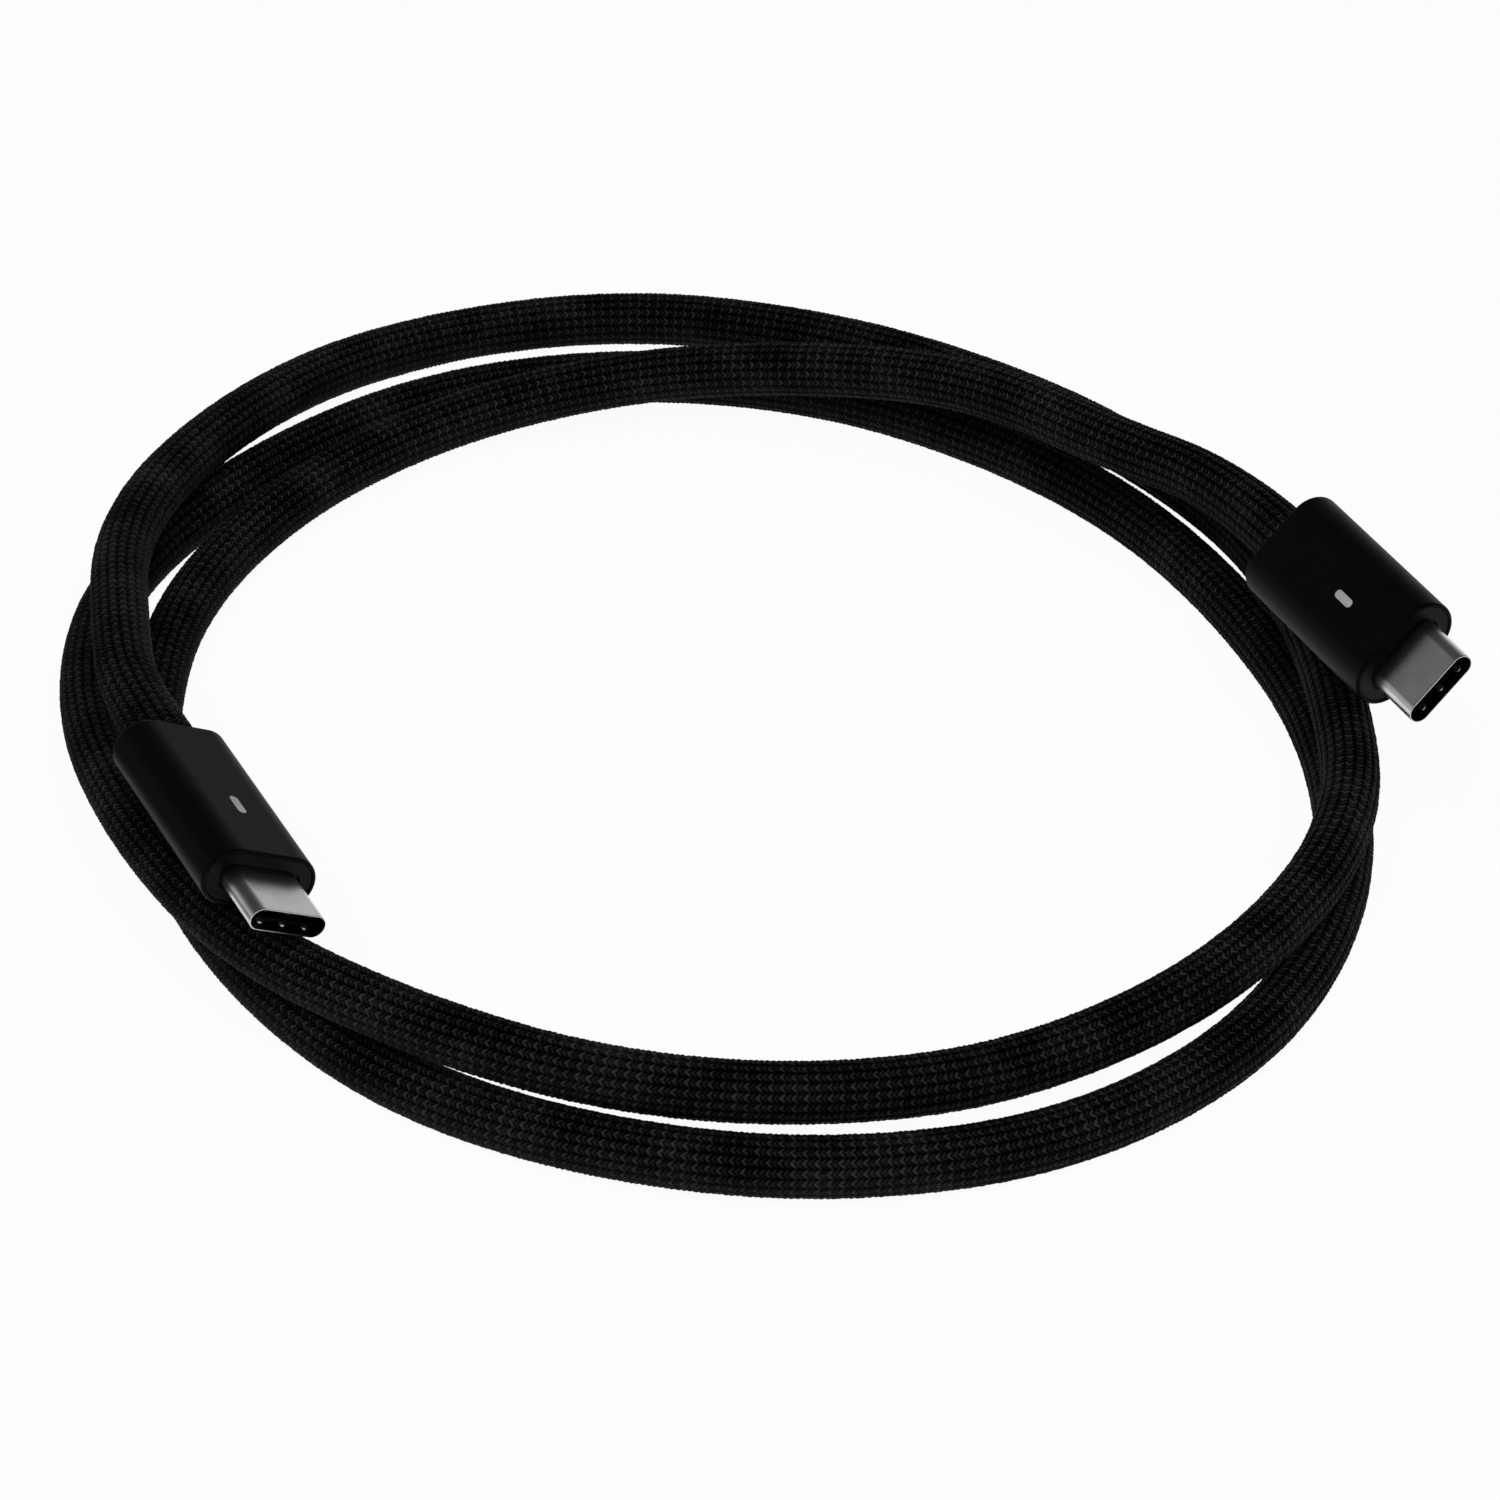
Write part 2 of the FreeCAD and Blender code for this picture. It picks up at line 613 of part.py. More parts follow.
def round_tube(points, radius):
    """A round bar along straight runs joined by tangent arcs."""
    edges = []
    here = points[0]
    for before, corner, after in zip(points, points[1:], points[2:]):
        back = (before - corner).normalize()
        ahead = (after - corner).normalize()
        turn = math.pi - back.getAngle(ahead)
        reach = 0.45 * min((before - corner).Length, (after - corner).Length)
        if turn < TOLERANCE:
            continue
        start = corner + back * reach
        end = corner + ahead * reach
        bend = reach / math.tan(turn / 2)
        middle = corner + (back + ahead).normalize() * (bend / math.cos(turn / 2) - bend)
        edges.append(Part.LineSegment(here, start).toShape())
        edges.append(Part.Arc(start, middle, end).toShape())
        here = end
    edges.append(Part.LineSegment(here, points[-1]).toShape())
    return swept(edges, radius)


def swept(edges, radius):
    """A closed bar of one radius along a smooth wire of lines and arcs."""
    wire = Part.Wire(edges)
    first = edges[0]
    start = first.Vertexes[0].Point
    heading = first.tangentAt(first.FirstParameter)
    pipe = Part.BRepOffsetAPI.MakePipeShell(wire)
    pipe.add(Part.Wire([Part.Circle(start, heading, radius).toShape()]))
    pipe.build()
    pipe.makeSolid()
    return pipe.shape()


def stations():
    """The places the cord passes, from where it leaves the left plug's swell to the right plug's."""
    points = []
    headings = []
    rest = size("cord_diameter / 2 - floor_flat")
    ends = []
    for side, sense in (("left", -1), ("right", 1)):
        placement = plug_placement(side)
        point = placement.multVec(Vector(-size("swell_length"), 0, 0))
        ends.append((point, placement.Rotation.multVec(Vector(sense, 0, 0))))
    for index, (reach, lift) in enumerate(COIL):
        angle = math.radians(index * size("coil_step"))
        points.append(Vector(
            size("coil_x") - reach * math.cos(angle),
            size("coil_y") + reach * math.sin(angle),
            rest + lift * size("cord_diameter"),
        ))
    points = [ends[0][0]] + points + [ends[1][0]]
    headings = [ends[0][1]]
    for before, here, after in zip(points, points[1:], points[2:]):
        inward = here - before
        onward = after - here
        balance = onward.Length / inward.Length
        heading = inward * balance + onward * (1 / balance)
        if abs(here.z - rest) < TOLERANCE:
            heading.z = 0
        headings.append(heading.normalize())
    headings.append(ends[1][1])
    return points, headings


def biarc(start, leaving, end, arriving):
    """Two arcs that meet smoothly between two places with given headings."""
    chord = end - start
    both = leaving + arriving
    spread = 2 * (1 - leaving.dot(arriving))
    along = chord.dot(both)
    reach = (-along + math.sqrt(along * along + spread * chord.dot(chord))) / spread
    join = (start + end + (leaving - arriving) * reach) * 0.5
    return [arc_from(start, leaving, join), arc_from(end, arriving * -1, join, True)]


def arc_from(start, heading, end, backwards=False):
    """The arc that leaves a place along a heading and ends at another."""
    chord = end - start
    across = Vector(chord).normalize()
    half = heading.getAngle(chord)
    side = (heading - across * across.dot(heading)).normalize()
    middle = start + chord * 0.5 + side * (chord.Length / 2 * math.tan(half / 2))
    if backwards:
        return Part.Arc(end, middle, start).toShape()
    return Part.Arc(start, middle, end).toShape()


def core_stations(radius_out, turn_out):
    """The cord's stations moved sideways, for a core that runs beside the cable's middle."""
    points, headings = stations()
    first_bank = PLUG_POSES["left"][3]
    last_bank = PLUG_POSES["right"][3]
    moved = []
    for index, (point, heading) in enumerate(zip(points, headings)):
        share = index / (len(points) - 1)
        turn = math.radians(turn_out - first_bank * (1 - share) + last_bank * share)
        side = Vector(-heading.y, heading.x, 0).normalize()
        above = heading.cross(side)
        offset = side * math.cos(turn) + above * math.sin(turn)
        moved.append(point + offset * radius_out)
    return moved, headings


def cable_wire(points, headings, inside):
    """The path of one layer of the cable, with its straight ends reaching into both plugs."""
    reach = size("swell_length") + inside
    edges = [Part.LineSegment(points[0] - headings[0] * reach, points[0]).toShape()]
    for index in range(len(points) - 1):
        edges += biarc(points[index], headings[index], points[index + 1], headings[index + 1])
    edges.append(Part.LineSegment(points[-1], points[-1] + headings[-1] * reach).toShape())
    return edges


def cable_tube(outer, inner, inside):
    """One round layer of the cable."""
    points, headings = stations()
    edges = cable_wire(points, headings, inside)
    return swept(edges, outer).cut(swept(edges, inner))


def add_cable_part(name, shape, solids=1):
    """Keeps a piece of the cable under its name."""
    piece = doc.addObject("Part::Feature", name + "_form")
    piece.Shape = shape
    finish(piece, "", name, solids)


def sleeve_cone(point, heading, near, far):
    """A cone along one straight end of the sleeve, from the coil to the plug."""
    return Part.makeCone(near, far, size("swell_length"), point, heading)


def cable_sleeve():
    """The braided sleeve: its turns, a swell at each plug and a flat where it lies on the floor."""
    points, headings = stations()
    edges = []
    for index in range(len(points) - 1):
        edges += biarc(points[index], headings[index], points[index + 1], headings[index + 1])
    outer = size("cord_diameter / 2")
    bore = size("cord_diameter / 2 - sleeve_wall")
    solid = swept(edges, outer).cut(swept(edges, bore))
    ends = ((points[0], headings[0] * -1), (points[-1], headings[-1]))
    for point, heading in ends:
        swell = sleeve_cone(point, heading, outer, outer + size("swell_rise"))
        hollow = sleeve_cone(point, heading, bore, size(RELIEF_RADIUS + " + fit_gap"))
        solid = solid.fuse(swell.cut(hollow))
    span = 4 * COIL[0][0]
    above_floor = Part.makeBox(span, span, span, Vector(-span / 2, -span / 2, 0))
    add_cable_part("cable_sleeve", solid.common(above_floor))
    return edges


def cable_layers():
    """The jacket, the screen and the cores."""
    jacket = size(JACKET_RADIUS)
    add_cable_part("cable_jacket", cable_tube(jacket, jacket - size("jacket_wall"), size(JACKET_END)))
    screen = size(SCREEN_RADIUS)
    add_cable_part("cable_shield", cable_tube(screen, screen - size("screen_wall"), size(SCREEN_END)))
    space = size(CORE_SPACE)
    core = size(CORE_RADIUS)
    cores = []
    for index in range(CORES_IN_RING):
        points, headings = core_stations(space / 3 * 2, ring_angle(index))
        cores.append(swept(cable_wire(points, headings, size(CORES_END)), core))
    add_cable_part("power_cores", Part.Compound([cores[0], cores[3]]), 2)
    add_cable_part("data_cores", Part.Compound([cores[1], cores[2], cores[4], cores[5]]), 4)
    points, headings = stations()
    add_cable_part("filler_strand", swept(cable_wire(points, headings, size(SCREEN_END)), core))


def report_cord(edges):
    """Prints the cord's length, its tightest bend and the least gap between its turns."""
    wire = Part.Wire(edges)
    tightest = min(edge.Curve.Radius for edge in edges)
    places = wire.discretize(Distance=SAMPLE_STEP)
    cells = {}
    least = wire.Length
    for index, place in enumerate(places):
        column = int(place.x // CELL)
        row = int(place.y // CELL)
        for across in (-1, 0, 1):
            for along in (-1, 0, 1):
                for other in cells.get((column + across, row + along), []):
                    if index - other > NEIGHBOURS:
                        least = min(least, (place - places[other]).Length)
        cells.setdefault((column, row), []).append(index)
    length = wire.Length + 2 * size("swell_length")
    gap = least - size("cord_diameter")
    print("cord length %.1f, tightest bend %.1f, least gap %.2f" % (length, tightest, gap))


def check_and_write():
    """Checks every object, then writes each piece to a file of its own."""
    doc.recompute()
    for item in doc.Objects:
        if "Invalid" in item.State or "Error" in item.State:
            raise RuntimeError("%s failed: %s" % (item.Name, item.State))
    os.makedirs("parts", exist_ok=True)
    for item, solids in parts:
        shape = item.Shape
        if shape.isNull() or not shape.isValid():
            raise RuntimeError("%s has no valid shape" % item.Label)
        if len(shape.Solids) != solids:
            raise RuntimeError("%s has %d solids, not %d" % (item.Label, len(shape.Solids), solids))
        shape.exportStep("parts/%s.step" % item.Label)
    print("%d pieces" % len(parts))


for plug in PLUG_POSES:
    strain_relief(plug)
    housing(plug)
    front_cap(plug)
    crimp_ferrule(plug)
    wire_leads(plug)
    circuit_card(plug)
    marker_chip(plug)
    card_capacitors(plug)
    shield_cover(plug, "upper_shield_cover", True)
    shield_cover(plug, "lower_shield_cover", False)
    connector_shell(plug)
    contact_insulator(plug)
    contact_row(plug, "upper_contacts", "", UPPER_CONTACTS)
    contact_row(plug, "lower_contacts", "- ", LOWER_CONTACTS)
    latch_plate(plug)
    ground_spring(plug, "upper_ground_spring", 1)
    ground_spring(plug, "lower_ground_spring", -1)
report_cord(cable_sleeve())
cable_layers()
check_and_write()
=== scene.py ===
"""The looks of a coiled, braided charging cable with a flat reversible plug on each end.

Metres, +Z up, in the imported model's own frame: the coil lies on the plane Z = 0. The metal and
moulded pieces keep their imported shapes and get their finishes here. The braided sleeve is woven
here, stitch by stitch, along the cable's route.
"""

import logging
import math
from dataclasses import dataclass, field, replace
from enum import Enum
from typing import Sequence

import bpy
import numpy as np
from mathutils import Euler, Matrix, Vector


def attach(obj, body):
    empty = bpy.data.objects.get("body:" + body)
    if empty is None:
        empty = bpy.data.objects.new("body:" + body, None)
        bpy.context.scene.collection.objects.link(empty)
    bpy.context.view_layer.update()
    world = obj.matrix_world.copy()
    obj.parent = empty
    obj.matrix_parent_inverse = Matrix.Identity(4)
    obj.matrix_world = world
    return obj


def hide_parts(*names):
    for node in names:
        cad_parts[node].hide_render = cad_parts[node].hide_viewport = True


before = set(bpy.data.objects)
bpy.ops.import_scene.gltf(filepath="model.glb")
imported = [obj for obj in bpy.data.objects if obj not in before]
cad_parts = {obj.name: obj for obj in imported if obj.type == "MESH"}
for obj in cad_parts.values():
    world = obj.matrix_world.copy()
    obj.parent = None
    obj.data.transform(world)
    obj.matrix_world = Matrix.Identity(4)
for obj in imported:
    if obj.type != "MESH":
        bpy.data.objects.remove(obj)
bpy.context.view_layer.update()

MM = 0.001
FACE_CORNERS = 4
LOG = logging.getLogger("charging_cable")
# where the dark and the light tones of a noise begin, since it seldom comes near 0 or 1
NOISE_DARK = 0.3
NOISE_LIGHT = 0.7
# the woven sleeve's own map and attribute, which its yarn reads
STITCH_MAP = "Stitches"
STITCH_HEIGHT = "stitch_height"

Socket = bpy.types.NodeSocket
Colour = float | tuple[float, float, float]


class Side(Enum):
    """The two ends of the cable."""

    LEFT = "left"
    RIGHT = "right"


class Ray(Enum):
    """The kinds of ray that see a white floor."""

    CAMERA = "Is Camera Ray"
    GLOSSY = "Is Glossy Ray"
    TRANSMISSION = "Is Transmission Ray"


def deselect_all() -> None:
    """Leaves object mode with nothing selected."""
    if bpy.context.object and bpy.context.object.mode != "OBJECT":
        bpy.ops.object.mode_set(mode="OBJECT")
    bpy.ops.object.select_all(action="DESELECT")


def node_name(side: Side, piece: str) -> str:
    """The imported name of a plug's piece."""
    return f"{side.value}_{piece}"


class NodeGraph:
    """A tree of shader nodes, with short ways to add and to join them."""

    def __init__(self, tree: bpy.types.NodeTree) -> None:
        """Works on a tree.

        Args:
            tree: the material's or the world's nodes.
        """
        self.tree = tree

    def add(self, kind: str, inputs: dict | None = None, **settings: object) -> bpy.types.Node:
        """Adds a node.

        Args:
            kind: the node's type name without its ShaderNode prefix.
            inputs: values for its sockets, or sockets that feed them, by name or number.
            settings: the node's own properties.

        Returns:
            The new node.
        """
        node = self.tree.nodes.new("ShaderNode" + kind)
        for name, value in settings.items():
            setattr(node, name, value)
        for socket, value in (inputs or {}).items():
            if isinstance(value, Socket):
                self.tree.links.new(value, node.inputs[socket])
            else:
                node.inputs[socket].default_value = value
        return node

    def maths(self, operation: str, *values: object) -> Socket:
        """The result of one sum on numbers or sockets."""
        return self.add("Math", dict(enumerate(values)), operation=operation).outputs[0]

    def between(self, share: Socket, ends: tuple[float, float]) -> Socket:
        """A number that goes from one end to the other as a share goes from 0 to 1."""
        return self.maths("MULTIPLY_ADD", share, ends[1] - ends[0], ends[0])

    def parts(self, vector: Socket) -> bpy.types.NodeOutputs:
        """A vector's three parts, by their names X, Y and Z."""
        return self.add("SeparateXYZ", {"Vector": vector}).outputs

    def ramp(self, factor: Socket, stops: Sequence[tuple[float, Colour]]) -> Socket:
        """A colour that changes with a factor.

        Args:
            factor: the socket that chooses the colour.
            stops: pairs of a place from 0 to 1 and a grey or an RGB colour.

        Returns:
            The colour's socket.
        """
        node = self.add("ValToRGB", {"Fac": factor})
        elements = node.color_ramp.elements
        elements[0].position = stops[0][0]
        elements[1].position = stops[-1][0]
        for place, _ in stops[1:-1]:
            elements.new(place)
        for element, (_, colour) in zip(elements, stops):
            rgb = colour if isinstance(colour, tuple) else (colour,) * 3
            element.color = (*rgb, 1)
        return node.outputs["Color"]

    def place(self, turn: Euler, middle: Vector) -> Socket:
        """Object coordinates as seen from a frame of its own.

        Args:
            turn: how that frame is turned.
            middle: where its origin lies.

        Returns:
            The socket of the coordinates in that frame.
        """
        where = self.add("TexCoord").outputs["Object"]
        mapping = self.add("Mapping", {"Vector": where}, vector_type="TEXTURE")
        mapping.inputs["Location"].default_value = middle
        mapping.inputs["Rotation"].default_value = turn
        return mapping.outputs["Vector"]

    def noise(self, where: Socket, size: float, detail: float = 2) -> Socket:
        """Grain of a given size in metres, as a number from 0 to 1."""
        inputs = {"Vector": where, "Scale": 1 / size, "Detail": detail}
        return self.add("TexNoise", inputs).outputs["Fac"]

    def scaled(self, colour: Socket, share: Socket | float) -> Socket:
        """A colour made brighter or darker by a factor."""
        return self.add("VectorMath", {0: colour, "Scale": share}, operation="SCALE").outputs[0]


class Surface(NodeGraph):
    """The nodes of one material, with its principled shader."""

    def __init__(self, name: str) -> None:
        """Starts a material.

        Args:
            name: the material's name.
        """
        self.material = bpy.data.materials.new(name)
        self.material.use_nodes = True
        super().__init__(self.material.node_tree)
        self.shader = self.tree.nodes["Principled BSDF"]

    def finish(self, colour: Socket, roughness: Socket, metallic: float = 0, **sockets: float) -> None:
        """Feeds the principled shader.

        Args:
            colour: the base colour's socket.
            roughness: the roughness's socket.
            metallic: 1 for bare metal.
            sockets: constants for other sockets, by name with underscores for spaces.
        """
        self.tree.links.new(colour, self.shader.inputs["Base Color"])
        self.tree.links.new(roughness, self.shader.inputs["Roughness"])
        self.shader.inputs["Metallic"].default_value = metallic
        for name, value in sockets.items():
            self.shader.inputs[name.replace("_", " ")].default_value = value

    def emboss(self, height: Socket, depth: float) -> None:
        """Raises the surface's relief by a height from 0 to 1 times a depth in metres."""
        bump = self.add("Bump", {"Height": height, "Distance": depth})
        self.tree.links.new(bump.outputs["Normal"], self.shader.inputs["Normal"])


@dataclass(frozen=True)
class PlugFrame:
    """Where a plug lies: X out through its mouth, Y across its width, Z through its thickness."""

    side: Side
    rear: Vector
    heading: float
    rise: float
    bank: float

    @property
    def turn(self) -> Euler:
        """The plug's turn as Blender's angles, about X, then Y, then Z."""
        return Euler((math.radians(self.bank), math.radians(-self.rise), math.radians(self.heading)))

    @property
    def matrix(self) -> Matrix:
        """From the plug's frame to the cable's."""
        return Matrix.Translation(self.rear) @ self.turn.to_matrix().to_4x4()

    @property
    def outward(self) -> Vector:
        """The way that the plug points."""
        return self.turn.to_matrix() @ Vector((1, 0, 0))


PLUGS = {
    Side.LEFT: PlugFrame(
        Side.LEFT, Vector((-55.48, -23.07, 14.5)) * MM, heading=-61.9, rise=1.1, bank=-31.5),
    Side.RIGHT: PlugFrame(
        Side.RIGHT, Vector((55.32, 7.63, 15.9)) * MM, heading=-65.7, rise=4.9, bank=42.6),
}


@dataclass(frozen=True)
class MouldedPlastic:
    """Moulded plastic with a fine spark-eroded grain and a little unevenness in its gloss."""

    name: str
    dark: Colour
    light: Colour
    roughness: tuple[float, float]
    grain: float = 0.12 * MM
    grain_detail: float = 3
    grain_depth: float = 0.003 * MM
    patch: float = 3 * MM
    patch_detail: float = 4
    specular: float = 0.2

    def material(self) -> bpy.types.Material:
        """Makes the finish.

        Returns:
            The new material.
        """
        graph = Surface(self.name)
        where = graph.add("TexCoord").outputs["Object"]
        fine = graph.noise(where, self.grain, self.grain_detail)
        broad = graph.noise(where, self.patch, self.patch_detail)
        colour = graph.ramp(broad, [(NOISE_DARK, self.dark), (NOISE_LIGHT, self.light)])
        roughness = graph.between(broad, self.roughness)
        graph.finish(colour, roughness, Specular_IOR_Level=self.specular)
        graph.emboss(fine, self.grain_depth)
        return graph.material


@dataclass(frozen=True)
class DrawnMetal:
    """Bare or plated metal, with faint lines along the way that it was drawn or pressed."""

    name: str
    dark: Colour
    light: Colour
    roughness: tuple[float, float]
    plug: PlugFrame
    line: float = 0.06 * MM
    line_stretch: float = 25
    line_depth: float = 0.0008 * MM
    line_share: float = 0.4
    patch: float = 2.5 * MM
    detail: float = 3
    dark_below: float = 0.35
    light_above: float = 0.65

    def material(self) -> bpy.types.Material:
        """Makes the finish.

        Returns:
            The new material.
        """
        graph = Surface(self.name)
        where = graph.place(self.plug.turn, self.plug.rear)
        drawn = graph.add("Mapping", {"Vector": where, "Scale": (1 / self.line_stretch, 1, 1)})
        lines = graph.noise(drawn.outputs["Vector"], self.line, self.detail)
        broad = graph.maths("MULTIPLY", graph.noise(where, self.patch, self.detail), 1 - self.line_share)
        mixed = graph.maths("MULTIPLY_ADD", lines, self.line_share, broad)
        colour = graph.ramp(mixed, [(self.dark_below, self.dark), (self.light_above, self.light)])
        colour = graph.scaled(colour, self.brightness(graph, where))
        graph.finish(colour, graph.between(mixed, self.roughness), metallic=1)
        graph.emboss(lines, self.line_depth)
        return graph.material

    def brightness(self, graph: Surface, where: Socket) -> Socket | float:
        """How bright the metal's colour is at a place in the plug's frame; the shell and the springs paint
        shade with it.
        """
        return 1.0


@dataclass(frozen=True)
class ShellMetal(DrawnMetal):
    """The shell's metal, full bright outside, with painted shade on its inner wall for the shade inside the
    mouth.
    """

    round_middle: float = 2.925 * MM
    wall_middle: float = 1.09 * MM
    # the share of the colour left on the inner wall: painted shade
    painted_shade: float = 0.03

    def brightness(self, graph: Surface, where: Socket) -> Socket | float:
        """Tells the outside of the wall from its inside.

        Args:
            graph: the material's nodes.
            where: the place in the plug's frame.

        Returns:
            The socket of 1 outside the wall's middle, and of the painted shade's share inside it.
        """
        place = graph.parts(where)
        beyond = graph.maths("SUBTRACT", graph.maths("ABSOLUTE", place["Y"]), self.round_middle)
        across = graph.add("CombineXYZ", {"X": graph.maths("MAXIMUM", beyond, 0.0), "Y": place["Z"]})
        reach = graph.add("VectorMath", {0: across.outputs[0]}, operation="LENGTH").outputs["Value"]
        outside = graph.maths("GREATER_THAN", reach, self.wall_middle)
        return graph.maths("MAXIMUM", outside, self.painted_shade)


@dataclass(frozen=True)
class SpringMetal(DrawnMetal):
    """Spring metal with painted shade everywhere but on the crowns of the dimples."""

    crown: float = 0.72 * MM
    # the share of the colour left off the crowns: painted shade
    painted_shade: float = 0.03

    def brightness(self, graph: Surface, where: Socket) -> Socket | float:
        """Full on the crowns, and the painted shade's share on the rest."""
        depth = graph.maths("ABSOLUTE", graph.parts(where)["Z"])
        return graph.maths("MAXIMUM", graph.maths("LESS_THAN", depth, self.crown), self.painted_shade)


@dataclass(frozen=True)
class StrandedMetal:
    """Fine tinned or bare wires laid side by side or woven."""

    name: str
    dark: Colour
    light: Colour
    roughness: tuple[float, float] = (0.25, 0.45)
    wire: float = 0.1 * MM
    wire_depth: float = 0.02 * MM
    light_below: float = 0.1
    dark_above: float = 0.7

    def material(self) -> bpy.types.Material:
        """Makes the finish.

        Returns:
            The new material.
        """
        graph = Surface(self.name)
        where = graph.add("TexCoord").outputs["Object"]
        cells = graph.add("TexVoronoi", {"Vector": where, "Scale": 1 / self.wire})
        height = cells.outputs["Distance"]
        colour = graph.ramp(height, [(self.light_below, self.light), (self.dark_above, self.dark)])
        graph.finish(colour, graph.between(height, self.roughness), metallic=1)
        graph.emboss(height, -self.wire_depth)
        return graph.material


@dataclass(frozen=True)
class WovenYarn:
    """Dull black multifilament yarn, with painted shade where a stitch dives under its neighbours."""

    name: str
    # the grooves' colour is painted shade, which the ramp up to the crests' colour lays into the weave's
    # hollows
    groove_shade: float = 0.0003
    crest: float = 0.0165
    groove_below: float = 0.3
    crest_above: float = 0.95
    rows: tuple[float, float] = (0.35, 1.35)
    chance: float = 0.6
    patch: float = 7 * MM
    patch_lift: float = 0.9
    fluff: float = 0.12 * MM
    fluff_tones: tuple[float, float] = (0.4, 1.6)
    roughness: tuple[float, float] = (0.5, 0.65)
    specular: float = 0.05
    filaments: float = 6
    filament_depth: float = 0.02 * MM

    def material(self) -> bpy.types.Material:
        """Makes the finish, which reads the sleeve's own map and its height attribute.

        Returns:
            The new material.
        """
        graph = Surface(self.name)
        stitch = graph.parts(graph.add("UVMap", uv_map=STITCH_MAP).outputs["UV"])
        row = graph.maths("FLOOR", stitch["Y"])
        cell = graph.add("CombineXYZ", {"X": graph.maths("FLOOR", stitch["X"]), "Y": row}).outputs[0]
        chance = graph.add("TexWhiteNoise", {"Vector": cell}, noise_dimensions="3D").outputs["Value"]
        around = graph.add("TexCoord").outputs["Object"]
        fluff = graph.between(graph.noise(around, self.fluff), self.fluff_tones)
        colour = graph.scaled(self.base(graph, around), self.brightness(graph, row, chance))
        roughness = graph.between(chance, self.roughness)
        graph.finish(graph.scaled(colour, fluff), roughness, Specular_IOR_Level=self.specular)
        turn = graph.maths("MULTIPLY", stitch["Y"], 2 * math.pi * self.filaments)
        thread = graph.maths("MULTIPLY_ADD", graph.maths("SINE", turn), 0.5, 0.5)
        graph.emboss(thread, self.filament_depth)
        return graph.material

    def base(self, graph: Surface, around: Socket) -> Socket:
        """The yarn's colour by its height in the weave, with painted shade low down, and by broad worn
        patches.

        Args:
            graph: the material's nodes.
            around: the place on the cable.

        Returns:
            The colour's socket.
        """
        rise = graph.add("Attribute", attribute_name=STITCH_HEIGHT).outputs["Fac"]
        wear = (-self.patch_lift / 2, self.patch_lift / 2)
        height = graph.maths("ADD", rise, graph.between(graph.noise(around, self.patch), wear))
        # low stitches get the painted groove shade
        return graph.ramp(height, [(self.groove_below, self.groove_shade), (self.crest_above, self.crest)])

    def brightness(self, graph: Surface, row: Socket, chance: Socket) -> Socket:
        """How bright a stitch is: every other row is dull, and each stitch differs a little."""
        odd_row = graph.maths("MODULO", row, 2)
        return graph.maths("MULTIPLY_ADD", chance, self.chance, graph.between(odd_row, self.rows))


